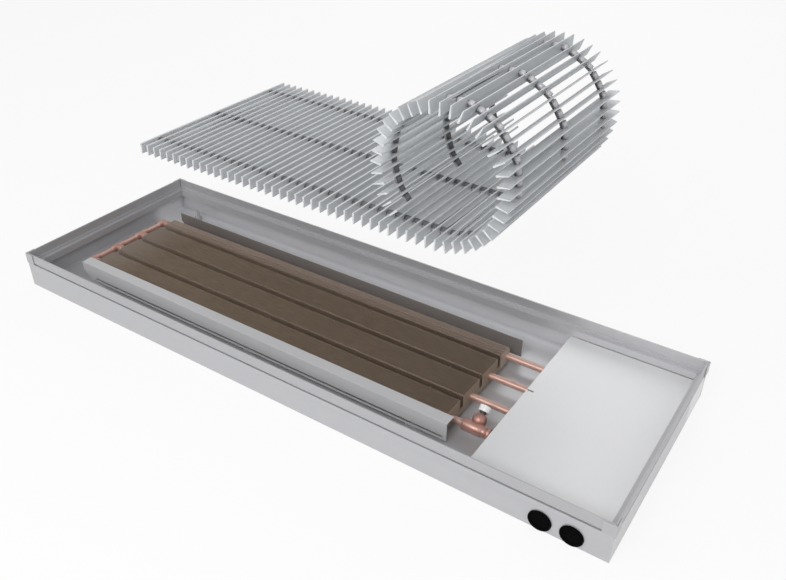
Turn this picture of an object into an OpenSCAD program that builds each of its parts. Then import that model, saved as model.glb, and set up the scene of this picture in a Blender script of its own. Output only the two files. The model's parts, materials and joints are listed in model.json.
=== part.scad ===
// Trench convector heater: shallow steel trough, finned copper exchanger,
// rim frame, cover plate and a roll-up slat grille lifted off and partly rolled.
// Frame: X along the trough, Y from the front wall to the back wall, Z up.
// The origin is the middle of the trough's underside. All lengths in mm.

/* [Trough] */
// outside length over the rim and the trough
rim_l = 1010; // [600:10:2000]
// outside width over the rim
rim_w = 340; // [260:5:500]
// height from the underside to the rim top
total_h = 60; // [50:1:140]
// how far the long walls stand out past the rim
side_proud = 1; // [0:0.1:3]
// sheet thickness of the trough
sheet_t = 1.2; // [0.8:0.1:2]
// drop from the shoulder to the support flange
step_drop = 1.9; // [1:0.1:4]
// gap between the support flange and the rim's lip
flange_gap = 0.6; // [0.3:0.1:3]
// shoulder's inner edge from the rim's outer face
shoulder_reach = 1.8; // [1:0.1:3]

/* [Rim] */
// thickness of the rim upright
rim_t = 2; // [1.2:0.1:4]
// height of the shadow groove
groove_h = 2; // [1:0.1:4]
// inner face of the rim neck from the outer face
neck_reach = 3.6; // [2.5:0.1:6]
// how far the ledge reaches in from the outer face
ledge_reach = 10; // [8:0.5:20]
// thickness of the ledge web and its lip
web_t = 1.6; // [1:0.1:3]
// drop of the lip below the ledge
lip_drop = 11.7; // [4:0.1:15]
// length of each leg of a corner clip
clip_leg = 15; // [8:0.5:30]
// thickness of a corner clip
clip_t = 1.2; // [0.8:0.1:2]

/* [Exchanger] */
// first and last tube from the fins' front and back edges
tube_in = [10.2, 7.2]; // [6.8:0.1:16]
// how far the tube axes lie below the fins' middle
tube_drop = 1.8; // [0:0.1:5]
// outside radius of the tubes
tube_r = 5; // [4:0.1:8]
// wall thickness of tubes
tube_t = 0.8; // [0.6:0.1:1.5]
// spacing of the fins
fin_gap = 4.5; // [3:0.1:8]
// thickness of a fin
fin_t = 0.4; // [0.3:0.05:1]
// room for the fins from the left header and from the vent branch
fin_room = [31, 35]; // [20:1:60]
// gap between the front baffle's flange and the fins
fin_front_gap = 3; // [1:0.5:20]
// gap between the fins and the back baffle
fin_back_gap = 17; // [1:0.5:30]
// lower edge of the fins
fin_low_z = 4.6; // [3:0.1:10]
// how far the fins end below the baffles' top
fin_low = 1.5; // [0:0.5:6]
// depth of the notches along the fin block's top
notch_d = 7; // [3:0.5:14]
// half width of the notches
notch_w = 3; // [1:0.1:6]
// bevel at the fins' upper back corner, along Y and Z
fin_bevel = [6, 9]; // [2:1:14]
// axis of the left header from the trough's left end
header_in = 43; // [30:1:80]
// outside radius of the copper fittings
fitting_r = 6.6; // [5.5:0.1:10]
// length of a fitting socket from its centre
socket_l = 13; // [9:0.5:20]
// depth a tube is pushed into a socket
push_l = 7; // [4:0.5:10]

/* [Baffles] */
// outer face of the front baffle from the front wall's face
front_space = 59; // [40:1:90]
// width of the front baffle's top flange
baffle_flange = 18; // [8:0.5:30]
// how far the baffles' top lies below the shoulder
baffle_low = 7.5; // [2:0.5:15]
// lower edge of the baffles
baffle_low_z = 5; // [3:0.5:20]
// thickness of the baffle sheet
baffle_t = 1; // [0.6:0.1:2]
// left end of the front and the back baffle from the left header
baffle_in = [16, 24]; // [8:1:30]
// right end of the baffles from the vent branch
baffle_end = 25; // [12:1:34]
// height of the long slot in the front baffle
slot_h = 3.2; // [1:0.1:8]
// right end of the slot from the baffle's right end
slot_end = 6; // [4:0.5:40]
// lower edge of the slot above the baffle's lower edge
slot_up = 3.4; // [2:0.1:10]
// front face of the back baffle from the back wall's face
back_space = 68; // [30:1:90]
// chamfer at the baffles' lower left corners
baffle_cut = 14; // [5:0.5:20]
// whole fin steps outside the first and the last saddle
saddle_skip_n = 11; // [2:1:20]
// thickness of a saddle
saddle_t = 1.5; // [1:0.1:2.5]
// height of a saddle
saddle_h = 24; // [18:0.5:40]
// length of a saddle's foot along X
foot_l = 16; // [8:0.5:30]
// radius of a screw shank
screw_r = 1.9; // [1:0.1:3]
// radius of a pan head
head_r = 3.6; // [2:0.1:6]
// height of a pan head
head_h = 1.6; // [1:0.1:3]

/* [Connections] */
// axis of the return port from the trough's right end
port_in = 45.8; // [40:0.1:70]
// bore radius of the grommet
grommet_bore_r = 11; // [6:0.1:18]
// wall of the grommet in the hole
grommet_wall = 1.1; // [0.6:0.1:3]
// how far the grommet's inner and outer flanges stand past the hole
grommet_hold = [1, 2.3]; // [0.6:0.1:4]
// thickness of one grommet flange
grommet_t = 1.5; // [1:0.1:3]
// least gap between a grommet and the floor
grommet_low = 0.4; // [0.3:0.1:3]
// front end of the valves from the front wall's face
valve_in = 19; // [12:0.5:25]
// least gap between a valve and the floor
valve_low = 1.8; // [0.3:0.1:5]
// radius of the threaded port
thread_r = 9.3; // [6:0.1:14]
// depth of the threaded port
thread_l = 13; // [8:0.5:20]
// wall round the threaded port at the flats
valve_wall = 2.7; // [1.5:0.1:5]
// metal behind the threaded port in the valve's end hexagon
valve_back = 2; // [1:0.5:5]
// radius of the valve waist
waist_r = 9; // [6:0.1:12]
// radius of the valve's side boss
boss_r = 7.5; // [4:0.1:10]
// reach of the side boss from the valve axis
boss_l = 19; // [14:0.5:30]
// radius of a valve cap
cap_r = 9.5; // [6:0.1:14]
// length of a valve cap
cap_l = 14; // [8:0.5:20]
// width across the flats of a union nut
nut_af = 21; // [16:0.5:30]
// length of a union nut
nut_l = 9; // [6:0.5:14]
// gap between a union nut and the manifold
nut_gap = 0.9; // [0.3:0.1:5]

/* [Vent] */
// vent branch from the cover plate's left edge
vent_in = 26; // [24:1:60]
// reach of the vent tee to the left and to the right
vent_arm = [20, 22]; // [16:1:24]
// radius of the vent bulb
vent_r = 9.8; // [7:0.1:12]
// middle of the vent bulb from the tube axis
vent_l = 12; // [8:0.5:14]
// radius of the vent neck
neck_r = 4; // [2:0.1:6]
// radius of the vent cap
vent_cap_r = 7.6; // [5:0.1:10]
// bare neck between the vent bulb and the vent cap
neck_l = 2.3; // [2.1:0.1:5]
// length of the vent cap
vent_cap_l = 8; // [4:0.1:11]
// tilt of the vent away from straight up
vent_tilt = 55; // [0:5:60]

/* [Cover] */
// left edge of the cover plate from the trough's right end
cover_in = 193; // [150:1:400]
// gap between the valves or their nuts and the cover plate
cover_over = 1.3; // [0.3:0.1:8]
// sheet thickness of the cover plate
cover_t = 1.2; // [0.8:0.1:2]
// gap between the cover plate and the rim lip
cover_gap = 0.5; // [0.5:0.1:4]
// drop of the cover plate's left flange
cover_flange = 6; // [2:0.5:8]
// length and width of the notch at the cover plate's left edge
cover_notch = [10, 3]; // [2:1:12]
// middle of the notch behind the plate's middle
notch_y = 13; // [6:1:60]
// width of the cover support angles
support_w = 14; // [8:0.5:25]
// length of the support angle at the right end
end_support_l = 120; // [20:1:200]

/* [Levelling] */
// levelling screws from the rim's long side
level_in = 26; // [20:1:40]
// gap between a levelling screw and the valves beside it
level_gap = 1.75; // [0.3:0.05:10]
// screw radius
level_r = 4; // [3:0.1:6]
// top of the levelling screws
level_top_z = 21; // [14:0.5:50]
// width across the flats of the weld nuts
weld_af = 13; // [10:0.5:20]
// height of the weld nuts
weld_h = 6.5; // [4:0.1:10]
// width across the flats of the socket in a screw
socket_af = 4; // [2:0.5:6]
// depth of the socket in a screw
socket_d = 4; // [2:0.5:8]

/* [Grille] */
// gap between a slat's end and the rim neck
slat_end_gap = 0.4; // [0.2:0.1:3]
// height of a slat
slat_h = 16.5; // [10:0.5:30]
// thickness of a slat at its top
slat_t = 3; // [2:0.1:8]
// thickness of a slat at its lower edge
slat_foot_t = 1.4; // [1:0.1:2]
// spacing of the slats
slat_gap = 13.66; // [8:0.01:20]
// how far the seated slats' tops lie below the rim's top
slat_low = 0.1; // [0:0.1:3]
// slats in each group of the roll
group_n = [3, 3, 3, 3, 3, 3, 3, 3, 3, 3, 3, 2]; // [2:1:5]
// turn between the groups of the roll
group_turn = 27; // [10:1:40]
// turn of the first group
first_turn = 18; // [5:1:40]
// turn of the last group
last_turn = 22.5; // [5:0.5:40]
// turn between the slats inside one group
inner_turn = 4.5; // [0:0.5:12]
// outer spring rows from the slats' ends
row_in = 38; // [15:1:70]
// radius of the spring core
core_r = 2.4; // [1:0.1:4]
// outside radius of the spacers
spacer_r = 4; // [3:0.1:6]
// inside radius of the spacers
spacer_in_r = 3.1; // [2:0.1:5]
// room that a short spacer at a group's start leaves for the turn
bead_room = 3.06; // [2.6:0.01:5]
// inside radius of that short spacer
bead_in_r = 3.5; // [3.2:0.1:3.6]
// gap from a core piece's end to the next slat's half pitch
core_end = 0.6; // [0.5:0.1:1]
// chamfer along the slat's upper edges
slat_cut = 0.7; // [0:0.1:1.5]
// play under the seated slats
seat_gap = 1.4; // [1.3:0.1:3]
// where the lifted grille stands from its seat, along X, Y and Z
lift_off = [176.2, 117, 193.1]; // [60:0.1:400]

/* [Hidden] */

// steps in a full round
$fn = 40;
// run of a cut past the face it opens
over = 1;
// gap between separate pieces that touch
touch = 0.3;
// radial clearance of a running or soldered fit
fit = 0.08;
// half lengths of the rim
hx = rim_l / 2;
hy = rim_w / 2;
// half width of the trough
ty = hy + side_proud;
// height of the shoulder the rim sits behind
shoulder_z = total_h - slat_low - slat_h - seat_gap;
// inner edge of the support flange and depth of the shadow groove
flange_reach = ledge_reach - web_t - flange_gap;
groove_d = shoulder_reach + touch;
// level of the support flange's top
flange_z = shoulder_z - step_drop;
// lower and upper height of the rim upright
rim_low_z = shoulder_z + groove_h;
// upright part of the rim neck above the ledge
neck_top_z = rim_low_z + web_t;
// thickness of the rim web
ledge_t = step_drop - touch;
// long faces of both baffles and of the fins between them
front_baffle_y = -ty + front_space;
back_baffle_y = ty - back_space;
baffle_top_z = shoulder_z - baffle_low;
fin_front_y = front_baffle_y + baffle_flange + fin_front_gap;
fin_back_y = back_baffle_y - fin_back_gap;
fin_top_z = baffle_top_z - fin_low;
// four tubes across the trough, their spacing and their height
tube_n = 4;
tube_gap = (fin_back_y - tube_in[1] - fin_front_y - tube_in[0]) / (tube_n - 1);
tube_y = [for (i = [0 : tube_n - 1]) fin_front_y + tube_in[0] + i * tube_gap];
tube_z = (fin_low_z + fin_top_z) / 2 - tube_drop;
// grommets and valves: hole, flanges, hexagon and their common height
wall_hole_r = grommet_bore_r + grommet_wall + touch;
grommet_in_r = wall_hole_r + grommet_hold[0];
grommet_r = wall_hole_r + grommet_hold[1];
valve_af = 2 * (thread_r + valve_wall);
valve_hex_l = thread_l + valve_back;
port_z = sheet_t + max(grommet_in_r + grommet_low, valve_af / 2 + valve_low);
// supply and return port, with a levelling screw between their valves
port_gap = valve_af / cos(30) + 2 * (level_r + level_gap);
port_x = [hx - port_in - port_gap, hx - port_in];
level_x = hx - port_in - port_gap / 2;
level_y = hy - level_in;
valve_y0 = -ty + valve_in;
valve_y1 = tube_y[0] - socket_l - nut_gap - nut_l - touch;
// left header, cover plate, vent and baffles along the trough
header_x = -hx + header_in;
cover_x0 = hx - cover_in;
cover_z = max(port_z + valve_af / 2, tube_z + nut_af / 2) + cover_over + cover_t;
vent_x = cover_x0 - vent_in;
vent_tee_x = [vent_x - vent_arm[0], vent_x + vent_arm[1]];
vent_top_s = vent_l + vent_r;
vent_cap_s = vent_top_s + neck_l;
baffle_x0 = [header_x + baffle_in[0], header_x + baffle_in[1]];
baffle_x1 = vent_x - baffle_end;
// right ends of the straight tubes, from front to back
tube_end_x = [port_x[0] - socket_l + push_l, port_x[0] - socket_l + push_l,
              port_x[1] - socket_l + push_l, port_x[1] - socket_l + push_l];
tube_x0 = header_x + socket_l - push_l;
tube_in_r = tube_r - tube_t;
sleeve_r = tube_r + fit;
// as many fins as the room holds, in its middle
fin_space = vent_x - fin_room[1] - header_x - fin_room[0];
fin_n = 1 + floor(fin_space / fin_gap);
fin_x0 = header_x + fin_room[0] + (fin_space - (fin_n - 1) * fin_gap) / 2;
// saddles near both ends and at the middle, each midway between two fins
saddle_steps = [saddle_skip_n, floor((fin_n - 1) / 2), fin_n - 2 - saddle_skip_n];
saddle_x = [for (s = saddle_steps) fin_x0 + (s + 0.5) * fin_gap - saddle_t / 2];
// under face of the cover plate
cover_low_z = cover_z - cover_t;
// top of the support angles
support_z = cover_low_z - touch;
// slats: half length, spring rows, and as many as the seat holds
slat_half = hy - neck_reach - slat_end_gap;
row_y = [row_in - slat_half, 0, slat_half - row_in];
slat_n = 1 + floor((rim_l - 2 * (neck_reach + touch) - slat_t) / slat_gap);
flat_n = slat_n - first_of(len(group_n));
// seat height of the spring rows and the first slat's seat
row_seat_z = shoulder_z + seat_gap + slat_h / 2;
seat_x0 = -hx + neck_reach + touch + slat_t / 2;
// lifted place of the first slat, the grille's middle and the spring rows
g_x0 = seat_x0 + lift_off[0];
g_y = lift_off[1];
g_z = row_seat_z + lift_off[2];
// last flat slat
g_x1 = g_x0 + (flat_n - 1) * slat_gap;
spacer_l = slat_gap - slat_t - 2 * touch;
bead_l = slat_gap - slat_t - bead_room;

// first slat number of each group of the roll
function first_of(k) = k == 0 ? 0 : first_of(k - 1) + group_n[k - 1];
// direction of a group's middle
function mid_turn(k) = k == 0 ? first_turn
    : k == len(group_n) - 1 ? mid_turn(k - 1) + last_turn : mid_turn(k - 1) + group_turn;
// direction of slat j in group k
function turn_of(k, j) = mid_turn(k) + (j - (group_n[k] - 1) / 2) * inner_turn;
// half a pitch along a direction, in the XZ plane
function half_step(a) = [slat_gap / 2 * cos(a), slat_gap / 2 * sin(a)];
// place where group k hinges on the group before it
function hinge_of(k) = k == 0 ? [g_x1 + slat_gap / 2, g_z] : end_of(k - 1, group_n[k - 1] - 1);
// far end of slat j's half pitch in group k
function end_of(k, j) = at_of(k, j) + half_step(turn_of(k, j));
// middle of slat j in group k
function at_of(k, j) = (j == 0 ? hinge_of(k) : end_of(k, j - 1)) + half_step(turn_of(k, j));

// flat ring between two half sizes, from z0 to z1
module ring(ox, oy, ix, iy, z0, z1) {
  difference() {
    translate([-ox, -oy, z0]) cube([2 * ox, 2 * oy, z1 - z0]);
    translate([-ix, -iy, z0 - over]) cube([2 * ix, 2 * iy, z1 - z0 + 2 * over]);
  }
}
// round bar along X, Y or Z
module bar_x(r, l) { rotate([0, 90, 0]) cylinder(r = r, h = l); }
module bar_y(r, l) { rotate([-90, 0, 0]) cylinder(r = r, h = l); }
// six-sided bar along Y, flats up and down
module hex_y(af, l) { rotate([-90, 0, 0]) cylinder(r = af / 2 / cos(30), h = l, $fn = 6); }
// tube along X and along Y
module tube_x(r, ri, l) {
  difference() {
    bar_x(r, l);
    translate([-over, 0, 0]) bar_x(ri, l + 2 * over);
  }
}
module tube_along_y(r, ri, l) {
  difference() {
    bar_y(r, l);
    translate([0, -over, 0]) bar_y(ri, l + 2 * over);
  }
}
// socket arm of a copper fitting, pointing along +X
module arm_solid() { bar_x(fitting_r, socket_l); }
module arm_bore() {
  bar_x(tube_in_r, socket_l + over);
  translate([socket_l - push_l - touch, 0, 0]) bar_x(sleeve_r, push_l + touch + over);
}
// copper fitting with arms turned to the given angles about Z
module fitting(turns) {
  difference() {
    union() {
      sphere(r = fitting_r);
      for (a = turns) rotate([0, 0, a]) arm_solid();
    }
    for (a = turns) rotate([0, 0, a]) arm_bore();
  }
}

// folded sheet trough with shoulder, support flange, wall holes and floor holes
module trough() {
  color("LightGray") difference() {
    union() {
      translate([-hx, -ty, 0]) cube([rim_l, 2 * ty, sheet_t]);
      ring(hx, ty, hx - sheet_t, ty - sheet_t, 0, shoulder_z);
      ring(hx, ty, hx - shoulder_reach, hy - shoulder_reach, shoulder_z - sheet_t, shoulder_z);
      ring(hx - shoulder_reach + sheet_t, hy - shoulder_reach + sheet_t,
           hx - shoulder_reach, hy - shoulder_reach, flange_z - sheet_t, shoulder_z);
      ring(hx - shoulder_reach + sheet_t, hy - shoulder_reach + sheet_t,
           hx - flange_reach, hy - flange_reach, flange_z - sheet_t, flange_z);
    }
    for (x = port_x)
      translate([x, -ty - over, port_z]) bar_y(wall_hole_r, sheet_t + 2 * over);
    for (sx = [-1, 1], sy = [-1, 1])
      translate([sx * level_x, sy * level_y, -over])
        cylinder(r = level_r + touch, h = sheet_t + 2 * over);
    for (x = saddle_x, y = foot_y)
      translate([x + foot_l / 2, y, -over]) cylinder(r = screw_r + fit, h = sheet_t + 2 * over);
  }
}

// rim section: reach in from the outer face against height
module rim_section() {
  polygon([[0, rim_low_z], [0, total_h], [rim_t, total_h], [rim_t, neck_top_z],
           [neck_reach, neck_top_z], [neck_reach, shoulder_z], [ledge_reach, shoulder_z],
           [ledge_reach, shoulder_z - lip_drop], [ledge_reach - web_t, shoulder_z - lip_drop],
           [ledge_reach - web_t, shoulder_z - ledge_t], [groove_d, shoulder_z - ledge_t],
           [groove_d, rim_low_z]]);
}
// mitred rim bar of a given length along X, outer face at Y = 0, running inwards in +Y
module rim_bar(l) {
  intersection() {
    translate([-l / 2, 0, 0]) rotate([90, 0, 90]) linear_extrude(height = l) rim_section();
    linear_extrude(height = total_h + over)
      polygon([[-l / 2 + touch, 0], [l / 2 - touch, 0],
               [l / 2 - touch - ledge_reach, ledge_reach], [-l / 2 + touch + ledge_reach, ledge_reach]]);
  }
}
module rim_front() { color("Silver") translate([0, -hy, 0]) rim_bar(rim_l); }
module rim_back() { color("Silver") translate([0, hy, 0]) rotate([0, 0, 180]) rim_bar(rim_l); }
module rim_left() { color("Silver") translate([-hx, 0, 0]) rotate([0, 0, -90]) rim_bar(rim_w); }
module rim_right() { color("Silver") translate([hx, 0, 0]) rotate([0, 0, 90]) rim_bar(rim_w); }

// one corner clip round the front left corner, with its tongue in the groove
clip_low_z = shoulder_z + touch;
module corner_clip() {
  out = touch + clip_t;
  difference() {
    translate([-out, -out, clip_low_z]) cube([clip_leg + out, clip_leg + out, total_h - clip_low_z]);
    translate([-touch, -touch, clip_low_z - over])
      cube([clip_leg + over, clip_leg + over, total_h - clip_low_z + 2 * over]);
  }
  difference() {
    translate([-out, -out, clip_low_z])
      cube([clip_leg + out, clip_leg + out, groove_h - 2 * touch]);
    translate([groove_d - touch, groove_d - touch, clip_low_z - over])
      cube([clip_leg + over, clip_leg + over, groove_h + 2 * over]);
  }
}
module rim_clips() {
  color("Silver") {
    translate([-hx, -hy, 0]) corner_clip();
    translate([hx, -hy, 0]) mirror([1, 0, 0]) corner_clip();
    translate([-hx, hy, 0]) mirror([0, 1, 0]) corner_clip();
    translate([hx, hy, 0]) mirror([0, 1, 0]) mirror([1, 0, 0]) corner_clip();
  }
}

// one fin, notched along its top and pierced for the tubes
module fin() {
  rotate([90, 0, 90]) linear_extrude(height = fin_t) difference() {
    polygon([[fin_front_y, fin_low_z], [fin_front_y, fin_top_z], [fin_back_y - fin_bevel[0], fin_top_z],
             [fin_back_y, fin_top_z - fin_bevel[1]], [fin_back_y, fin_low_z]]);
    for (y = [tube_y[0], tube_y[1], tube_y[2]] + tube_gap / 2 * [1, 1, 1])
      polygon([[y - notch_w, fin_top_z + over], [y - notch_w, fin_top_z], [y, fin_top_z - notch_d],
               [y + notch_w, fin_top_z], [y + notch_w, fin_top_z + over]]);
    for (y = tube_y) translate([y, tube_z]) circle(r = sleeve_r, $fn = 32);
  }
}
module fin_block() {
  color("SaddleBrown") for (i = [0 : fin_n - 1])
    translate([fin_x0 + i * fin_gap - fin_t / 2, 0, 0]) fin();
}
// four straight tubes, the front one interrupted by the vent tee
module core_tubes() {
  color("Peru") {
    for (i = [1 : 3])
      translate([tube_x0, tube_y[i], tube_z]) tube_x(tube_r, tube_in_r, tube_end_x[i] - tube_x0);
    translate([tube_x0, tube_y[0], tube_z])
      tube_x(tube_r, tube_in_r, vent_tee_x[0] + push_l - tube_x0);
    translate([vent_tee_x[1] - push_l, tube_y[0], tube_z])
      tube_x(tube_r, tube_in_r, tube_end_x[0] - vent_tee_x[1] + push_l);
  }
}
// short tubes between the fittings of the left header
module left_header() {
  color("Peru") for (i = [0 : 2])
    translate([header_x, tube_y[i] + socket_l - push_l, tube_z])
      tube_along_y(tube_r, tube_in_r, tube_gap - 2 * socket_l + 2 * push_l);
}
module header_fittings() {
  color("Chocolate") {
    translate([header_x, tube_y[0], tube_z]) fitting([0, 90]);
    translate([header_x, tube_y[1], tube_z]) fitting([0, 90, -90]);
    translate([header_x, tube_y[2], tube_z]) fitting([0, 90, -90]);
    translate([header_x, tube_y[3], tube_z]) fitting([0, -90]);
  }
}

// sheet of a baffle from its left end x0, with cut lower left corner
module baffle_face(x0, slotted) {
  rotate([90, 0, 0]) linear_extrude(height = baffle_t) difference() {
    polygon([[x0, baffle_top_z], [x0, baffle_low_z + baffle_cut], [x0 + baffle_cut, baffle_low_z],
             [baffle_x1, baffle_low_z], [baffle_x1, baffle_top_z]]);
    if (slotted) translate([x0 + 2 * baffle_cut, baffle_low_z + slot_up])
      square([baffle_x1 - slot_end - x0 - 2 * baffle_cut, slot_h]);
  }
}
// front baffle with a flange along its top and a long slot near its foot
module front_baffle() {
  color("Gainsboro") {
    translate([0, front_baffle_y + baffle_t, 0]) baffle_face(baffle_x0[0], true);
    translate([baffle_x0[0], front_baffle_y, baffle_top_z - baffle_t])
      cube([baffle_x1 - baffle_x0[0], baffle_flange, baffle_t]);
  }
}
module back_baffle() {
  color("DarkOliveGreen") translate([0, back_baffle_y + baffle_t, 0]) baffle_face(baffle_x0[1], false);
}

// saddle plates between two fins, with low straps and feet screwed to the floor
saddle_z0 = sheet_t + touch;
saddle_y = [front_baffle_y + baffle_t + touch, back_baffle_y - touch];
foot_w = 9;
strap_h = 8;
foot_y = [saddle_y[0] + foot_w / 2 + over, saddle_y[1] - foot_w / 2 - over];
module saddle() {
  rotate([90, 0, 90]) linear_extrude(height = saddle_t) difference() {
    translate([saddle_y[0], saddle_z0]) square([saddle_y[1] - saddle_y[0], saddle_h - saddle_z0]);
    for (y = tube_y) {
      translate([y, tube_z]) circle(r = sleeve_r + touch);
      translate([y - sleeve_r - touch, tube_z])
        square([2 * sleeve_r + 2 * touch, saddle_h - tube_z + over]);
    }
    translate([fin_front_y + over, saddle_z0 - over])
      square([fin_back_y - fin_front_y - 2 * over, fin_low_z - saddle_z0 + over]);
    for (y = [[saddle_y[0] - over, fin_front_y], [fin_back_y, saddle_y[1] + over]])
      translate([y[0], saddle_z0 + strap_h]) square([y[1] - y[0], saddle_h]);
  }
  for (y = foot_y) difference() {
    translate([0, y - foot_w / 2, saddle_z0]) cube([foot_l, foot_w, saddle_t]);
    translate([foot_l / 2, y, saddle_z0 - over]) cylinder(r = screw_r + fit, h = saddle_t + 2 * over);
  }
}
module saddles() { color("LightSteelBlue") for (x = saddle_x) translate([x, 0, 0]) saddle(); }
module saddle_screws() {
  color("Gray") for (x = saddle_x, y = foot_y) translate([x + foot_l / 2, y, 0]) {
    translate([0, 0, touch]) cylinder(r = screw_r, h = saddle_z0 + saddle_t);
    translate([0, 0, saddle_z0 + saddle_t + touch])
      cylinder(r1 = head_r, r2 = head_r - screw_r / 2, h = head_h);
  }
}

// vent tee on the front tube, its bulb tilted back
module along_vent() {
  translate([vent_x, tube_y[0], tube_z]) rotate([-vent_tilt, 0, 0]) children();
}
module vent_tee() {
  tee_l = vent_tee_x[1] - vent_tee_x[0];
  color("Chocolate") difference() {
    union() {
      translate([vent_tee_x[0], tube_y[0], tube_z]) bar_x(fitting_r, tee_l);
      along_vent() cylinder(r = fitting_r, h = vent_l);
      along_vent() translate([0, 0, vent_l]) sphere(r = vent_r);
    }
    translate([vent_tee_x[0] - over, tube_y[0], tube_z]) bar_x(tube_in_r, tee_l + 2 * over);
    translate([vent_tee_x[0] - over, tube_y[0], tube_z]) bar_x(sleeve_r, push_l + touch + over);
    translate([vent_tee_x[1] - push_l - touch, tube_y[0], tube_z]) bar_x(sleeve_r, push_l + touch + over);
    along_vent() cylinder(r = neck_r + fit, h = vent_top_s + over);
  }
}
vent_collar = 1.4;
module vent_valve() {
  color("Gold") along_vent() difference() {
    union() {
      translate([0, 0, tube_r + over]) cylinder(r = neck_r, h = vent_cap_s + vent_cap_l / 2 - tube_r);
      translate([0, 0, vent_top_s + touch]) cylinder(r = neck_r + vent_collar, h = vent_collar, $fn = 6);
    }
    translate([0, 0, tube_r]) cylinder(r = neck_r / 2, h = vent_top_s);
  }
}
// knobs round the vent cap and the valve caps
knob_n = 12;
knob_r = 0.6;
module vent_cap() {
  color("White") along_vent() difference() {
    translate([0, 0, vent_cap_s]) cylinder(r = vent_cap_r, h = vent_cap_l);
    translate([0, 0, vent_cap_s - over])
      cylinder(r = neck_r + fit, h = over + vent_cap_l / 2 + over + touch);
    for (i = [0 : knob_n - 1]) rotate([0, 0, i * 360 / knob_n])
      translate([vent_cap_r, 0, vent_cap_s + over]) cylinder(r = knob_r, h = vent_cap_l, $fn = 16);
  }
}

// manifold from two core tubes to one valve: elbow, tee and tubes
module manifold(x, i_far, i_near) {
  translate([x, tube_y[i_far], tube_z]) fitting([180, -90]);
  translate([x, tube_y[i_near], tube_z]) fitting([180, 90, -90]);
  translate([x, tube_y[i_near] + socket_l - push_l, tube_z])
    tube_along_y(tube_r, tube_in_r, tube_gap - 2 * socket_l + 2 * push_l);
}
module supply_manifold() {
  color("Peru") {
    manifold(port_x[0], 1, 0);
    translate([port_x[0], valve_y1 - push_l, tube_z])
      tube_along_y(tube_r, tube_in_r, tube_y[0] - socket_l + push_l - valve_y1 + push_l);
  }
}
module return_manifold() {
  color("Peru") {
    manifold(port_x[1], 3, 2);
    translate([port_x[1], valve_y1 - push_l, tube_z])
      tube_along_y(tube_r, tube_in_r, tube_y[2] - socket_l + push_l - valve_y1 + push_l);
  }
}

// inline valve with a side boss; the threaded port faces the wall hole
valve_l = valve_y1 - valve_y0;
module valve(x, side) {
  difference() {
    union() {
      translate([x, valve_y0, port_z]) hex_y(valve_af, valve_hex_l);
      translate([x, valve_y0, port_z]) bar_y(waist_r, valve_l);
      translate([x, valve_y1 - valve_hex_l, tube_z]) hex_y(nut_af, valve_hex_l);
      translate([x, valve_y0 + valve_l / 2, port_z]) rotate([0, 0, side]) bar_x(boss_r, boss_l);
    }
    translate([x, valve_y0 - over, port_z]) bar_y(thread_r, thread_l + over);
    translate([x, valve_y0, port_z]) bar_y(tube_in_r, valve_l);
    translate([x, valve_y1 - push_l - touch, tube_z]) bar_y(sleeve_r, push_l + touch + over);
    translate([x, valve_y0 + valve_l / 2, port_z]) rotate([0, 0, side])
      translate([boss_l - push_l, 0, 0]) bar_x(neck_r, push_l + over);
  }
}
module supply_valve() { color("Gold") valve(port_x[0], 180); }
module return_valve() { color("Gold") valve(port_x[1], 0); }
// valve cap turning on the side boss, with a stem in the boss bore
cap_in = 6;
module valve_cap(x, side) {
  translate([x, valve_y0 + valve_l / 2, port_z]) rotate([0, 0, side]) difference() {
    union() {
      translate([boss_l + touch, 0, 0]) bar_x(cap_r, cap_l);
      translate([boss_l - cap_in, 0, 0]) bar_x(neck_r - fit, cap_in + cap_l / 2);
    }
    for (i = [0 : knob_n - 1]) rotate([i * 360 / knob_n, 0, 0])
      translate([boss_l, cap_r + knob_r / 2, 0]) bar_x(2 * knob_r, cap_l + 2 * over, $fn = 16);
  }
}
module supply_cap() { color("WhiteSmoke") valve_cap(port_x[0], 180); }
module return_cap() { color("DimGray") valve_cap(port_x[1], 0); }
// union nuts behind the valves
module union_nuts() {
  color("Goldenrod") for (x = port_x) difference() {
    translate([x, valve_y1 + touch, tube_z]) hex_y(nut_af, nut_l);
    translate([x, valve_y1 - over, tube_z]) bar_y(sleeve_r, nut_l + 2 * over + touch);
  }
}
// rubber grommets in the wall holes
module grommets() {
  color("Black") for (x = port_x) translate([x, -ty, port_z]) difference() {
    union() {
      translate([0, -touch - grommet_t, 0]) bar_y(grommet_r, grommet_t);
      translate([0, -touch - grommet_t, 0]) bar_y(wall_hole_r - touch, sheet_t + 2 * touch + 2 * grommet_t);
      translate([0, sheet_t + touch, 0]) bar_y(grommet_in_r, grommet_t);
    }
    translate([0, -touch - grommet_t - over, 0])
      bar_y(grommet_bore_r, sheet_t + 2 * touch + 2 * grommet_t + 2 * over);
  }
}

// cover plate over the connection end, with a left flange and a notch in it
cover_x1 = hx - ledge_reach - cover_gap;
cover_y = hy - ledge_reach - cover_gap;
module cover_plate() {
  color("WhiteSmoke") difference() {
    union() {
      translate([cover_x0, -cover_y, cover_low_z]) cube([cover_x1 - cover_x0, 2 * cover_y, cover_t]);
      translate([cover_x0, -cover_y, cover_z - cover_flange]) cube([cover_t, 2 * cover_y, cover_flange]);
    }
    translate([cover_x0 - over, notch_y - cover_notch[1] / 2, cover_low_z - over])
      cube([cover_notch[0] + over, cover_notch[1], cover_t + 2 * over]);
  }
}
// support angle along +X, its upright leg at Y = 0 standing on the floor
module support(l) {
  translate([0, 0, support_z - sheet_t]) cube([l, support_w, sheet_t]);
  translate([0, 0, sheet_t + touch]) cube([l, sheet_t, support_z - sheet_t - touch]);
}
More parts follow.
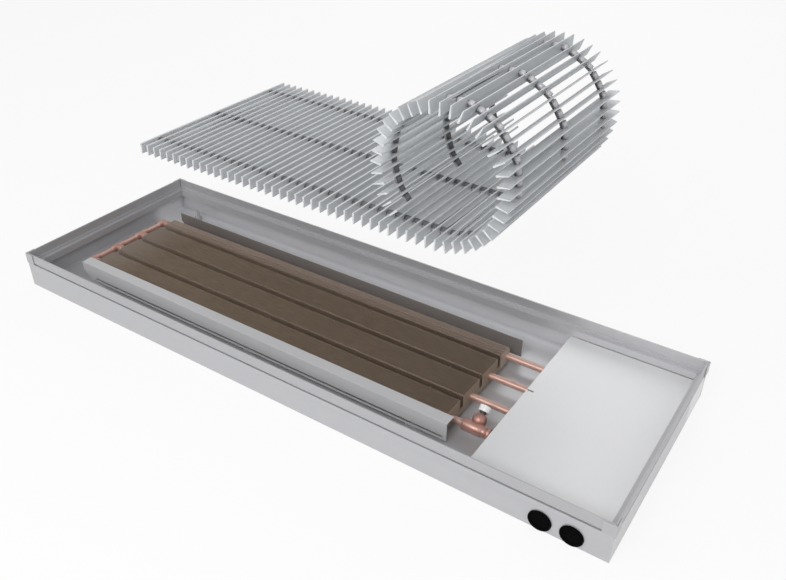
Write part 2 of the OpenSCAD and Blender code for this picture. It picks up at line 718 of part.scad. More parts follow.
// angles under the front, back and right edges of the cover plate
support_x0 = cover_x0 + 2 * cover_flange;
support_x1 = cover_x1 - 2 * cover_flange;
module cover_supports() {
  color("LightSteelBlue") {
    translate([support_x0, -cover_y, 0]) support(port_x[0] - 2 * grommet_r - support_x0);
    translate([support_x1, cover_y, 0]) rotate([0, 0, 180]) support(support_x1 - support_x0);
    translate([cover_x1, -end_support_l / 2, 0]) rotate([0, 0, 90]) support(end_support_l);
  }
}

// weld nuts on the floor and the levelling screws in them
module weld_nuts() {
  color("Gray") for (sx = [-1, 1], sy = [-1, 1])
    translate([sx * level_x, sy * level_y, sheet_t + touch]) difference() {
      cylinder(r = weld_af / 2 / cos(30), h = weld_h, $fn = 6);
      translate([0, 0, -over]) cylinder(r = level_r + fit, h = weld_h + 2 * over);
    }
}
module level_screw(sx, sy) {
  color("DarkGray") translate([sx * level_x, sy * level_y, 0]) difference() {
    translate([0, 0, touch]) cylinder(r = level_r, h = level_top_z - touch);
    translate([0, 0, level_top_z - socket_d])
      cylinder(r = socket_af / 2 / cos(30), h = socket_d + over, $fn = 6);
  }
}
module level_screw_1() { level_screw(-1, -1); }
module level_screw_2() { level_screw(1, -1); }
module level_screw_3() { level_screw(1, 1); }
module level_screw_4() { level_screw(-1, 1); }

// one slat, pierced for the spring rows, upright about its middle
module slat() {
  difference() {
    translate([0, slat_half, 0]) rotate([90, 0, 0]) linear_extrude(height = 2 * slat_half)
      polygon([[-slat_foot_t / 2, -slat_h / 2], [slat_foot_t / 2, -slat_h / 2],
               [slat_t / 2, slat_h / 2 - slat_cut], [slat_t / 2 - slat_cut, slat_h / 2],
               [-slat_t / 2 + slat_cut, slat_h / 2], [-slat_t / 2, slat_h / 2 - slat_cut]]);
    for (y = row_y)
      translate([-slat_t / 2 - over, y, 0]) bar_x(core_r + fit, slat_t + 2 * over, $fn = 24);
  }
}
// spacer tube centred on a spring row
module spacer(l, in_r) {
  for (y = row_y) translate([-l / 2, y, 0]) difference() {
    bar_x(spacer_r, l, $fn = 24);
    translate([-over, 0, 0]) bar_x(in_r, l + 2 * over, $fn = 24);
  }
}
module grille_flat() {
  color("Silver") for (i = [0 : flat_n - 1])
    translate([g_x0 + i * slat_gap, g_y, g_z]) slat();
}
// cores through the flat part and the spacers between its slats
module grille_flat_links() {
  core_l = g_x1 - g_x0 + slat_t / 2 + slat_gap / 2 - core_end;
  color("SlateGray") {
    for (y = row_y) translate([g_x0 - slat_t / 2, g_y + y, g_z]) bar_x(core_r, core_l, $fn = 24);
    for (i = [0 : flat_n - 2])
      translate([g_x0 + (i + 0.5) * slat_gap, g_y, g_z]) spacer(spacer_l, spacer_in_r);
  }
}
// move to a point of the roll and turn there
module on_roll(at, turn) { translate([at[0], g_y, at[1]]) rotate([0, -turn, 0]) children(); }
module roll_slats(k) {
  color("Silver") for (j = [0 : group_n[k] - 1]) on_roll(at_of(k, j), turn_of(k, j)) slat();
}
// reach of a slat's core piece past its middle, flush with the very last slat
function core_reach(k, j) = k == len(group_n) - 1 && j == group_n[k] - 1
    ? slat_t / 2 : slat_gap / 2 - core_end;
// core pieces in the slats of a group, a short spacer before it and spacers inside it
module roll_links(k) {
  start = slat_gap / 2 - core_end;
  color("SlateGray") {
    for (j = [0 : group_n[k] - 1]) on_roll(at_of(k, j), turn_of(k, j))
      for (y = row_y) translate([-start, y, 0]) bar_x(core_r, start + core_reach(k, j), $fn = 24);
    on_roll(hinge_of(k), turn_of(k, 0) - inner_turn) spacer(bead_l, bead_in_r);
    for (j = [1 : group_n[k] - 1])
      on_roll(end_of(k, j - 1), (turn_of(k, j) + turn_of(k, j - 1)) / 2)
        spacer(spacer_l - touch, spacer_in_r);
  }
}

module roll_slats_1() { roll_slats(0); }
module roll_slats_2() { roll_slats(1); }
module roll_slats_3() { roll_slats(2); }
module roll_slats_4() { roll_slats(3); }
module roll_slats_5() { roll_slats(4); }
module roll_slats_6() { roll_slats(5); }
module roll_slats_7() { roll_slats(6); }
module roll_slats_8() { roll_slats(7); }
module roll_slats_9() { roll_slats(8); }
module roll_slats_10() { roll_slats(9); }
module roll_slats_11() { roll_slats(10); }
module roll_slats_12() { roll_slats(11); }
module roll_links_1() { roll_links(0); }
module roll_links_2() { roll_links(1); }
module roll_links_3() { roll_links(2); }
module roll_links_4() { roll_links(3); }
module roll_links_5() { roll_links(4); }
module roll_links_6() { roll_links(5); }
module roll_links_7() { roll_links(6); }
module roll_links_8() { roll_links(7); }
module roll_links_9() { roll_links(8); }
module roll_links_10() { roll_links(9); }
module roll_links_11() { roll_links(10); }
module roll_links_12() { roll_links(11); }

trough();
rim_front();
rim_back();
rim_left();
rim_right();
rim_clips();
fin_block();
core_tubes();
left_header();
header_fittings();
front_baffle();
back_baffle();
saddles();
saddle_screws();
vent_tee();
vent_valve();
vent_cap();
supply_manifold();
return_manifold();
supply_valve();
return_valve();
supply_cap();
return_cap();
union_nuts();
grommets();
cover_plate();
cover_supports();
weld_nuts();
level_screw_1();
level_screw_2();
level_screw_3();
level_screw_4();
grille_flat();
grille_flat_links();
roll_slats_1();
roll_slats_2();
roll_slats_3();
roll_slats_4();
roll_slats_5();
roll_slats_6();
roll_slats_7();
roll_slats_8();
roll_slats_9();
roll_slats_10();
roll_slats_11();
roll_slats_12();
roll_links_1();
roll_links_2();
roll_links_3();
roll_links_4();
roll_links_5();
roll_links_6();
roll_links_7();
roll_links_8();
roll_links_9();
roll_links_10();
roll_links_11();
roll_links_12();
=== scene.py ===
import json
import math
import random

import bmesh
import bpy
from mathutils import Matrix, Vector


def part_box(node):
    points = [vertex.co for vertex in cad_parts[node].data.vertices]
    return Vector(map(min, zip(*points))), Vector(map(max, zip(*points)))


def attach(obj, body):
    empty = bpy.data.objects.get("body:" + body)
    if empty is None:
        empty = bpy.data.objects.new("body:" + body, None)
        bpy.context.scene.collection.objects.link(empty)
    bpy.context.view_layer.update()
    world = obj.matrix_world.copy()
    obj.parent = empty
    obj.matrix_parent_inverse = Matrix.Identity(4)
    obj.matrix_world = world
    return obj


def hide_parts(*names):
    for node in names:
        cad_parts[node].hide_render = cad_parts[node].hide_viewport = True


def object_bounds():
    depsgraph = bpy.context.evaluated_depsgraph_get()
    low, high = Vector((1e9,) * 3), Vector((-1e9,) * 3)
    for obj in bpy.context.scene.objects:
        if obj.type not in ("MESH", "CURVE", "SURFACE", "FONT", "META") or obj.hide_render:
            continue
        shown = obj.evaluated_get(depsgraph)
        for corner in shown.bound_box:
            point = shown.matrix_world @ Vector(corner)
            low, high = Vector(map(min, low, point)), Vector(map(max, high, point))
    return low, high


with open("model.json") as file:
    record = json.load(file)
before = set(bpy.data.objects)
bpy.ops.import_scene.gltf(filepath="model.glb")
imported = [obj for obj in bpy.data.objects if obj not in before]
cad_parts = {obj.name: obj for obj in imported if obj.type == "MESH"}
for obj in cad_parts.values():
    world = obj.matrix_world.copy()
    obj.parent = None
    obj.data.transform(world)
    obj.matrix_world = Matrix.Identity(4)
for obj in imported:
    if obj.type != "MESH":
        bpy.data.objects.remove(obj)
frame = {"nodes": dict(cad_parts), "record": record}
nodes = frame["nodes"]
cadLow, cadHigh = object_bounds()
mm = 0.001
print("frame loaded:", len(nodes), "nodes")


# node helpers

def newGroup(name, inputs, outputs):
    group = bpy.data.node_groups.new(name, "ShaderNodeTree")
    for label, kind, value in inputs:
        socket = group.interface.new_socket(name=label, in_out="INPUT", socket_type=kind)
        socket.default_value = value
    for label, kind in outputs:
        group.interface.new_socket(name=label, in_out="OUTPUT", socket_type=kind)
    return group, group.nodes.new("NodeGroupInput"), group.nodes.new("NodeGroupOutput")


def addNode(tree, kind, settings=None, values=None):
    node = tree.nodes.new(kind)
    for key, value in (settings or {}).items():
        setattr(node, key, value)
    for key, value in (values or {}).items():
        node.inputs[key].default_value = value
    return node


def linkUp(tree, *pairs):
    for source, target in pairs:
        tree.links.new(source, target)


def mathNode(tree, operation, first, second=None, clamp=False):
    node = addNode(tree, "ShaderNodeMath", {"operation": operation, "use_clamp": clamp})
    for place, value in ((0, first), (1, second)):
        if value is None:
            continue
        if isinstance(value, (int, float)):
            node.inputs[place].default_value = value
        else:
            tree.links.new(value, node.inputs[place])
    return node.outputs[0]


def mixColour(tree, factor, first, second):
    # inputs 6 and 7 and output 2 are the mix node's colour sockets
    node = addNode(tree, "ShaderNodeMix", {"data_type": "RGBA", "clamp_factor": True})
    for place, value in ((0, factor), (6, first), (7, second)):
        if isinstance(value, tuple):
            node.inputs[place].default_value = (*value, 1.0)
        else:
            tree.links.new(value, node.inputs[place])
    return node.outputs[2]


# shared effects: each is built once and placed in the materials that use it

effects = {"streakDetail": 4.0, "streakRoughness": 0.6, "cloudDetail": 3.0, "cloudRoughness": 0.55,
           "dustFalloff": 2.0, "dustRoughness": 0.3, "cornerStart": 0.52, "cornerFull": 0.62,
           "wearBase": 0.4, "bumpDistance": 0.0002, "upwardStart": 0.4, "upwardFull": 0.8}


def buildRollGrain():
    # fine streaks left by rolling or drawing the metal, along one chosen axis
    group, inside, outside = newGroup(
        "rollGrain",
        [("Vector", "NodeSocketVector", (0, 0, 0)), ("Stretch", "NodeSocketVector", (1, 1, 1)),
         ("Scale", "NodeSocketFloat", 300.0), ("Cloud Scale", "NodeSocketFloat", 9.0)],
        [("Streak", "NodeSocketFloat"), ("Cloud", "NodeSocketFloat")])
    squeeze = addNode(group, "ShaderNodeVectorMath", {"operation": "MULTIPLY"})
    streak = addNode(group, "ShaderNodeTexNoise", None,
                     {"Detail": effects["streakDetail"], "Roughness": effects["streakRoughness"]})
    cloud = addNode(group, "ShaderNodeTexNoise", None,
                    {"Detail": effects["cloudDetail"], "Roughness": effects["cloudRoughness"]})
    linkUp(group,
           (inside.outputs["Vector"], squeeze.inputs[0]),
           (inside.outputs["Stretch"], squeeze.inputs[1]),
           (squeeze.outputs[0], streak.inputs["Vector"]),
           (inside.outputs["Scale"], streak.inputs["Scale"]),
           (inside.outputs["Vector"], cloud.inputs["Vector"]),
           (inside.outputs["Cloud Scale"], cloud.inputs["Scale"]),
           (streak.outputs["Fac"], outside.inputs["Streak"]),
           (cloud.outputs["Fac"], outside.inputs["Cloud"]))
    return group


def buildSettledDust():
    # pale dust on faces that look up, thicker in the cloudy patches
    group, inside, outside = newGroup(
        "settledDust",
        [("Color", "NodeSocketColor", (0.5, 0.5, 0.5, 1)),
         ("Dust Color", "NodeSocketColor", (0.6, 0.58, 0.55, 1)),
         ("Patch", "NodeSocketFloat", 0.5), ("Amount", "NodeSocketFloat", 0.1)],
        [("Color", "NodeSocketColor"), ("Mask", "NodeSocketFloat")])
    geometry = addNode(group, "ShaderNodeNewGeometry")
    split = addNode(group, "ShaderNodeSeparateXYZ")
    linkUp(group, (geometry.outputs["Normal"], split.inputs[0]))
    upward = mathNode(group, "MAXIMUM", split.outputs["Z"], 0.0)
    upward = mathNode(group, "POWER", upward, effects["dustFalloff"])
    patchy = mathNode(group, "MULTIPLY", upward, inside.outputs["Patch"])
    mask = mathNode(group, "MULTIPLY", patchy, inside.outputs["Amount"], True)
    mixed = mixColour(group, mask, inside.outputs["Color"], inside.outputs["Dust Color"])
    linkUp(group, (mixed, outside.inputs["Color"]), (mask, outside.inputs["Mask"]))
    return group


def buildEdgeWearAndHighlight():
    # corners lighter than the faces: rubbed wear together with a painted edge highlight
    group, inside, outside = newGroup(
        "edgeWearAndHighlight",
        [("Color", "NodeSocketColor", (0.5, 0.5, 0.5, 1)),
         ("Edge Color", "NodeSocketColor", (0.9, 0.9, 0.9, 1)),
         ("Amount", "NodeSocketFloat", 0.5), ("Patch", "NodeSocketFloat", 0.5)],
        [("Color", "NodeSocketColor")])
    geometry = addNode(group, "ShaderNodeNewGeometry")
    sharp = addNode(group, "ShaderNodeMapRange", {"clamp": True},
                    {"From Min": effects["cornerStart"], "From Max": effects["cornerFull"]})
    linkUp(group, (geometry.outputs["Pointiness"], sharp.inputs["Value"]))
    patchy = mathNode(group, "ADD", inside.outputs["Patch"], effects["wearBase"])
    broken = mathNode(group, "MULTIPLY", sharp.outputs[0], patchy)
    mask = mathNode(group, "MULTIPLY", broken, inside.outputs["Amount"], True)
    mixed = mixColour(group, mask, inside.outputs["Color"], inside.outputs["Edge Color"])
    linkUp(group, (mixed, outside.inputs["Color"]))
    return group


rollGrain = buildRollGrain()
settledDust = buildSettledDust()
edgeWearAndHighlight = buildEdgeWearAndHighlight()
print("shared effects built")


def finishMaterial(name, look):
    # grain, cloudy tone, rubbed edges with a painted edge highlight, and dust over a base colour
    material = bpy.data.materials.new(name)
    material.use_nodes = True
    tree = material.node_tree
    shader = tree.nodes["Principled BSDF"]
    coords = addNode(tree, "ShaderNodeTexCoord")
    grain = addNode(tree, "ShaderNodeGroup", {"node_tree": rollGrain},
                    {"Stretch": look["stretch"], "Scale": look["grainScale"],
                     "Cloud Scale": look["cloudScale"]})
    linkUp(tree, (coords.outputs["Object"], grain.inputs["Vector"]))
    streaky = mixColour(tree, grain.outputs["Streak"], look["dark"], look["light"])
    cloudShare = mathNode(tree, "MULTIPLY", grain.outputs["Cloud"], look["cloud"])
    cloudy = mixColour(tree, cloudShare, streaky, look["cloudColour"])
    # lighter corners, for rubbed wear and a painted edge highlight
    wear = addNode(tree, "ShaderNodeGroup", {"node_tree": edgeWearAndHighlight},
                   {"Edge Color": (*look["edge"], 1), "Amount": look["wear"]})
    dust = addNode(tree, "ShaderNodeGroup", {"node_tree": settledDust},
                   {"Dust Color": (*look["dustColour"], 1), "Amount": look["dust"]})
    linkUp(tree, (cloudy, wear.inputs["Color"]), (grain.outputs["Cloud"], wear.inputs["Patch"]),
           (wear.outputs["Color"], dust.inputs["Color"]),
           (grain.outputs["Cloud"], dust.inputs["Patch"]),
           (dust.outputs["Color"], shader.inputs["Base Color"]))
    rough = mathNode(tree, "MULTIPLY_ADD", grain.outputs["Streak"], look["roughSpread"])
    rough.node.inputs[2].default_value = look["rough"] - look["roughSpread"] / 2
    dulled = mathNode(tree, "MULTIPLY", dust.outputs["Mask"], effects["dustRoughness"])
    rough = mathNode(tree, "ADD", rough, dulled, True)
    linkUp(tree, (rough, shader.inputs["Roughness"]))
    bump = addNode(tree, "ShaderNodeBump", None,
                   {"Strength": look["bump"], "Distance": effects["bumpDistance"]})
    linkUp(tree, (grain.outputs["Streak"], bump.inputs["Height"]),
           (bump.outputs[0], shader.inputs["Normal"]))
    shader.inputs["Metallic"].default_value = look["metal"]
    if "upMetal" in look:  # faces that look up are left more metallic
        geometry = addNode(tree, "ShaderNodeNewGeometry")
        split = addNode(tree, "ShaderNodeSeparateXYZ")
        bright = addNode(tree, "ShaderNodeMapRange", {"clamp": True},
                         {"From Min": effects["upwardStart"], "From Max": effects["upwardFull"],
                          "To Min": look["metal"], "To Max": look["upMetal"]})
        linkUp(tree, (geometry.outputs["Normal"], split.inputs[0]),
               (split.outputs["Z"], bright.inputs["Value"]),
               (bright.outputs[0], shader.inputs["Metallic"]))
    # slow changes of tone by position, here used as painted light and shade: axis, start and stop
    # in millimetres, colour, amount
    for axis, start, stop, colour, amount in look.get("fades", ()):
        split = addNode(tree, "ShaderNodeSeparateXYZ")
        spread = addNode(tree, "ShaderNodeMapRange", {"clamp": True},
                         {"From Min": start * mm, "From Max": stop * mm, "To Max": amount})
        linkUp(tree, (coords.outputs["Object"], split.inputs[0]),
               (split.outputs[axis], spread.inputs["Value"]))
        before = shader.inputs["Base Color"].links[0].from_socket
        toned = mixColour(tree, spread.outputs[0], before, colour)
        linkUp(tree, (toned, shader.inputs["Base Color"]))
    shader.inputs["Specular IOR Level"].default_value = look["specular"]
    return material


def look(**changes):
    base = {"dark": (0.5, 0.5, 0.51), "light": (0.6, 0.6, 0.61),
            "cloudColour": (0.55, 0.55, 0.56), "cloud": 0.4,
            "edge": (0.8, 0.8, 0.8), "wear": 0.4,
            "dustColour": (0.6, 0.59, 0.57), "dust": 0.1,
            "stretch": (1, 12, 12), "grainScale": 60.0, "cloudScale": 9.0,
            "rough": 0.42, "roughSpread": 0.12, "bump": 0.08, "metal": 0.8, "specular": 0.5}
    base.update(changes)
    return base


evenGrain = (1, 1, 1)

finishes = {
    # everything behind y 92 mm is lightened as painted light where the grille's shadow falls, and
    # from y 160 mm towards the back wall it is turned back towards the plain tone
    "tray_steel": look(
        dark=(0.46, 0.463, 0.48), light=(0.53, 0.533, 0.55), cloudColour=(0.50, 0.50, 0.52),
        stretch=(1, 14, 14), metal=0.4, rough=0.34, bump=0.03,
        fades=(("Y", 92, 112, (0.93, 0.93, 0.95), 0.6), ("Y", 160, 168, (0.52, 0.52, 0.54), 0.8))),
    # the back rim from y 120 mm is lightened as painted light on its shaded inner faces
    "frame_aluminium": look(
        dark=(0.40, 0.40, 0.416), light=(0.47, 0.47, 0.486), cloudColour=(0.435, 0.435, 0.45),
        stretch=(1, 30, 30), metal=0.4, rough=0.40, bump=0.02, edge=(0.78, 0.78, 0.79), dust=0.04,
        fades=(("Y", 120, 160, (0.76, 0.76, 0.78), 0.25),)),
    # the fins are lightened towards the left end, and in the band past the back groove as a painted
    # highlight where the fin edges catch the light
    "fin_metal": look(
        dark=(0.08, 0.055, 0.037), light=(0.68, 0.528, 0.40), cloudColour=(0.42, 0.326, 0.252),
        stretch=(2, 22, 22), grainScale=26, metal=0.3, rough=0.5, wear=0.0,
        dustColour=(0.50, 0.455, 0.42),
        fades=(("X", -350, -430, (0.60, 0.54, 0.49), 0.5), ("Y", 56, 64, (0.74, 0.62, 0.55), 0.5))),
    # painted shade: the dark strips set in the fins behind the grooves
    "fin_groove_shade": look(
        dark=(0.13, 0.092, 0.072), light=(0.24, 0.175, 0.142), cloudColour=(0.18, 0.14, 0.115),
        stretch=(40, 1, 1), metal=0.3, rough=0.45, wear=0.0, dust=0.05),
    "copper": look(
        dark=(0.42, 0.205, 0.165), light=(0.55, 0.305, 0.26), cloudColour=(0.32, 0.165, 0.13),
        cloud=0.5, cloudScale=60, stretch=(1, 8, 8), metal=0.6, edge=(0.9, 0.66, 0.57)),
    "solder": look(
        dark=(0.40, 0.24, 0.20), light=(0.50, 0.34, 0.29), cloudColour=(0.44, 0.30, 0.25),
        stretch=evenGrain, grainScale=200, metal=0.6, rough=0.35, wear=0.2),
    "baffle_steel": look(
        dark=(0.57, 0.57, 0.58), light=(0.63, 0.63, 0.64), cloudColour=(0.60, 0.60, 0.61),
        metal=0.1, upMetal=0.5, rough=0.6, roughSpread=0.06, bump=0.02, specular=0.3,
        wear=0.1, dust=0.0),
    "back_baffle_steel": look(
        dark=(0.17, 0.150, 0.137), light=(0.25, 0.224, 0.208), cloudColour=(0.20, 0.18, 0.168),
        metal=0.3, rough=0.45, edge=(0.42, 0.40, 0.38)),
    "zinc_steel": look(
        dark=(0.48, 0.49, 0.51), light=(0.60, 0.61, 0.64), cloudColour=(0.54, 0.53, 0.48),
        cloud=0.6, cloudScale=70, metal=0.6, rough=0.38),
    "valve_brass": look(
        dark=(0.62, 0.45, 0.19), light=(0.74, 0.56, 0.27), cloudColour=(0.5, 0.38, 0.2),
        cloudScale=60, metal=0.9, rough=0.3, edge=(0.9, 0.78, 0.5)),
    "white_cap": look(
        dark=(0.80, 0.80, 0.79), light=(0.86, 0.86, 0.85), cloudColour=(0.83, 0.83, 0.81),
        stretch=evenGrain, grainScale=500, metal=0.0, rough=0.3, edge=(0.9, 0.9, 0.9), dust=0.05),
    "grey_cap": look(
        dark=(0.030, 0.030, 0.032), light=(0.05, 0.05, 0.052), cloudColour=(0.04, 0.04, 0.04),
        stretch=evenGrain, grainScale=500, metal=0.0, rough=0.5, edge=(0.16, 0.16, 0.16)),
    # near black, darker than rubber, so that the leaves across the bores read as the shade in the
    # holes
    "grommet_rubber": look(
        dark=(0.002, 0.002, 0.002), light=(0.004, 0.004, 0.004), cloudColour=(0.003, 0.003, 0.003),
        stretch=evenGrain, grainScale=400, metal=0.0, rough=0.9, bump=0.2, specular=0.02,
        edge=(0.005, 0.005, 0.005), dust=0.0),
    "cover_steel": look(
        dark=(0.72, 0.725, 0.735), light=(0.79, 0.795, 0.805), cloudColour=(0.75, 0.75, 0.76),
        stretch=(14, 1, 14), metal=0.35, rough=0.45, bump=0.03),
    "slat_aluminium": look(
        dark=(0.62, 0.642, 0.66), light=(0.70, 0.722, 0.74), cloudColour=(0.66, 0.678, 0.695),
        stretch=(30, 1, 30), metal=0.2, bump=0.04, edge=(0.78, 0.79, 0.80), wear=0.2, dust=0.05),
    "spacer_plastic": look(
        dark=(0.07, 0.073, 0.08), light=(0.10, 0.103, 0.11), cloudColour=(0.085, 0.085, 0.09),
        stretch=evenGrain, grainScale=500, metal=0.0, rough=0.5, edge=(0.2, 0.2, 0.21)),
    # the light lower half of the grille's sleeves, painted as their lit side
    "sleeve_lit_underside": look(
        dark=(0.50, 0.49, 0.515), light=(0.58, 0.57, 0.595), cloudColour=(0.54, 0.53, 0.555),
        stretch=evenGrain, grainScale=500, metal=0.1, rough=0.45, edge=(0.6, 0.6, 0.62)),
    "spring_wire": look(
        dark=(0.44, 0.43, 0.46), light=(0.56, 0.55, 0.58), cloudColour=(0.5, 0.49, 0.52),
        stretch=evenGrain, grainScale=300, metal=0.6, rough=0.4, wear=0.3),
}
materials = {name: finishMaterial(name, values) for name, values in finishes.items()}
print("finishes made:", len(materials))


# every carried-over node gets its finish, and the listed ones have their corners eased; widths in
# millimetres

slotOf = {row["node"]: row["material_slot"] for row in frame["record"]["subparts"]}
easing = {"weld": 0.01, "segments": 2, "angle": 35, "rollSlats": 0.45}
easedEdges = {"trough": 0.5, "rim_front": 0.3, "rim_back": 0.3, "rim_left": 0.3, "rim_right": 0.3,
              "rim_clips": 0.3, "cover_plate": 0.4, "front_baffle": 0.3, "back_baffle": 0.25,
              "grille_flat": 0.45, "vent_cap": 0.3, "grommets": 0.35, "supply_cap": 0.3,
              "return_cap": 0.3, "supply_valve": 0.4, "return_valve": 0.4, "union_nuts": 0.4,
              "weld_nuts": 0.4, "cover_supports": 0.25}


def easeEdges(piece, width):
    weld = piece.modifiers.new("joinedCorners", "WELD")
    weld.merge_threshold = easing["weld"] * mm
    bevel = piece.modifiers.new("easedEdges", "BEVEL")
    bevel.width = width * mm
    bevel.segments = easing["segments"]
    bevel.limit_method = "ANGLE"
    bevel.angle_limit = math.radians(easing["angle"])
    bevel.use_clamp_overlap = True


for name, node in nodes.items():
    node.data.materials.clear()
    node.data.materials.append(materials[slotOf[name]])
    width = easedEdges.get(name, easing["rollSlats"] if name.startswith("roll_slats") else 0)
    if width:
        easeEdges(node, width)
print("nodes finished")


def placePiece(name, mesh, finish, body, smooth=True, extra=()):
    # turn a bmesh into a piece that rides on a body; extra holds its further finishes
    mesh.normal_update()
    data = bpy.data.meshes.new(name)
    mesh.to_mesh(data)
    mesh.free()
    for each in (finish, *extra):
        data.materials.append(materials[each])
    for face in data.polygons:
        face.use_smooth = smooth
    piece = bpy.data.objects.new(name, data)
    bpy.context.scene.collection.objects.link(piece)
    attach(piece, body)
    return piece


def turned(mesh, place, profile, sides, closed, material=0):
    # turn a profile of (along, radius) in millimetres about the local X axis
    angles = [2 * math.pi * i / sides for i in range(sides)]
    rings = []
    for along, radius in profile:
        points = [Vector((along * mm, radius * mm * math.cos(a), radius * mm * math.sin(a)))
                  for a in angles]
        rings.append([mesh.verts.new(place @ point) for point in points])
    pairs = list(zip(rings, rings[1:])) + ([(rings[-1], rings[0])] if closed else [])
    made = [mesh.faces.new((one[i], one[(i + 1) % sides], two[(i + 1) % sides], two[i]))
            for one, two in pairs for i in range(sides)]
    if not closed:
        made += [mesh.faces.new(list(reversed(rings[0]))), mesh.faces.new(rings[-1])]
    for face in made:
        face.material_index = material


def partSleeve(mesh, place, length, outer, inner, spread, material=0, sides=8):
    # part of a tube round the local X axis, its middle towards local +Z
    angles = [math.radians(spread) * (2 * i / sides - 1) for i in range(sides + 1)]
    arcs = []
    for along in (-length / 2, length / 2):
        for radius in (outer, inner):
            points = [Vector((along * mm, radius * mm * math.sin(a), radius * mm * math.cos(a)))
                      for a in angles]
            arcs.append([mesh.verts.new(place @ point) for point in points])
    outA, inA, outB, inB = arcs
    made = []
    for i in range(sides):
        for quad in ((outA[i], outB[i], outB[i + 1], outA[i + 1]),
                     (inA[i + 1], inB[i + 1], inB[i], inA[i]),
                     (outA[i + 1], inA[i + 1], inA[i], outA[i]),
                     (outB[i], inB[i], inB[i + 1], outB[i + 1])):
            made.append(mesh.faces.new(quad))
    made.append(mesh.faces.new((outA[0], inA[0], inB[0], outB[0])))
    made.append(mesh.faces.new((outB[sides], inB[sides], inA[sides], outA[sides])))
    for face in made:
        face.material_index = material


def litAndShadedSleeve(mesh, place, length, inner):
    # a dark upper half as painted shade over the spring and a light lower half under it as painted
    # light
    s = grilleLinks
    partSleeve(mesh, place, length, s["shadedTopOuter"], inner, s["spread"])
    partSleeve(mesh, place @ Matrix.Rotation(math.pi, 4, "X"), length - s["litUndersideShort"],
               s["litUndersideOuter"], inner, 180 - s["spread"] - s["seam"], s["litUndersideMaterial"])


# fin stack: thin plates on a close pitch, each cut into four tongues by the grooves

finStack = {"pitch": 2.25, "thickness": 0.32, "grooves": (-54.2, -1.0, 52.2), "grooveWidth": 7.4,
            "grooveDepth": 19.0, "corner": 2.2, "bevelY": 6.0, "bevelZ": 9.0, "backLineY": 66.0,
            "backLineDepth": 3.0, "backLineWidth": 1.8, "backLineCorner": 0.6, "lean": 0.12,
            "seed": 7}


def finOutline(low, high):
    s = finStack
    top, bottom = high.z, low.z
    points = [(low.y, bottom), (low.y, top - s["corner"] * mm), (low.y + s["corner"] * mm, top)]
    cuts = [(y, s["grooveWidth"], s["grooveDepth"], s["corner"]) for y in s["grooves"]]
    cuts.append((s["backLineY"], s["backLineWidth"], s["backLineDepth"], s["backLineCorner"]))
    for middle, width, depth, corner in cuts:
        left, right = (middle - width / 2) * mm, (middle + width / 2) * mm
        corner, floor = corner * mm, top - depth * mm
        points += [(left - corner, top), (left, top - corner), (left, floor),
                   (right, floor), (right, top - corner), (right + corner, top)]
    points += [(high.y - s["bevelY"] * mm, top), (high.y, top - s["bevelZ"] * mm), (high.y, bottom)]
    return points


def makeFinStack():
    s = finStack
    low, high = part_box("fin_block")
    outline = finOutline(low, high)
    middleZ = (low.z + high.z) / 2
    chance = random.Random(s["seed"])
    mesh = bmesh.new()
    count = int((high.x - low.x) / (s["pitch"] * mm)) + 1
    step = (high.x - low.x - s["thickness"] * mm) / (count - 1)
    for i in range(count):
        x = low.x + i * step
        # the upper half leans a little to one side, but not on the end fins
        lean = chance.uniform(-1, 1) * s["lean"] * mm if 0 < i < count - 1 else 0
        sides = []
        for offset in (0, s["thickness"] * mm):
            sides.append([mesh.verts.new((x + offset + (lean if z > middleZ else 0), y, z))
                          for y, z in outline])
        near, far = sides
        mesh.faces.new(near)
        mesh.faces.new(reversed(far))
        for k in range(len(outline)):
            j = (k + 1) % len(outline)
            mesh.faces.new((near[j], near[k], far[k], far[j]))
    piece = placePiece("finStack", mesh, "fin_metal", "heater", smooth=False)
    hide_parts("fin_block")
    print("fin stack:", count, "fins")


makeFinStack()


# painted shade in the fin grooves: a thin dark strip set in the fins just behind each groove and
# along the back line

finGrooveShades = {"behind": 1.2, "width": 0.8, "height": 0.9, "below": 0.7, "bevel": 0.2}


def makeFinGrooveShades():
    s, f = finGrooveShades, finStack
    low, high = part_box("fin_block")
    mesh = bmesh.new()
    edges = [y + f["grooveWidth"] / 2 for y in f["grooves"]]
    edges.append(f["backLineY"] + f["backLineWidth"] / 2)
    for edge in edges:
        y0 = (edge + s["behind"]) * mm
        z1 = high.z - s["below"] * mm
        size = Vector((high.x - low.x, s["width"] * mm, s["height"] * mm))
        middle = Vector(((low.x + high.x) / 2, y0 + size.y / 2, z1 - size.z / 2))
        place = Matrix.Translation(middle) @ Matrix.Diagonal((*size, 1))
        bmesh.ops.create_cube(mesh, size=1.0, matrix=place)
    bmesh.ops.bevel(mesh, geom=mesh.edges[:], offset=s["bevel"] * mm, segments=1, affect="EDGES")
    placePiece("finGrooveShades", mesh, "fin_groove_shade", "heater", smooth=False)
    print("fin collars:", len(edges))


makeFinGrooveShades()


# soldered joints at the ends of the visible copper sockets

solderJoints = {"tubes": 4, "socket": 13.0, "sides": 28,
                "profile": ((-0.3, 6.55), (0.4, 6.3), (1.4, 5.25), (1.4, 5.05), (-0.3, 5.05))}


def headerLine():
    # the header's axis: its X and Z, and the Y of its first and last tube
    low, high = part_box("header_fittings")
    radius = (high.z - low.z) / 2
    return low.x + radius, (low.z + high.z) / 2, low.y + radius, high.y - radius


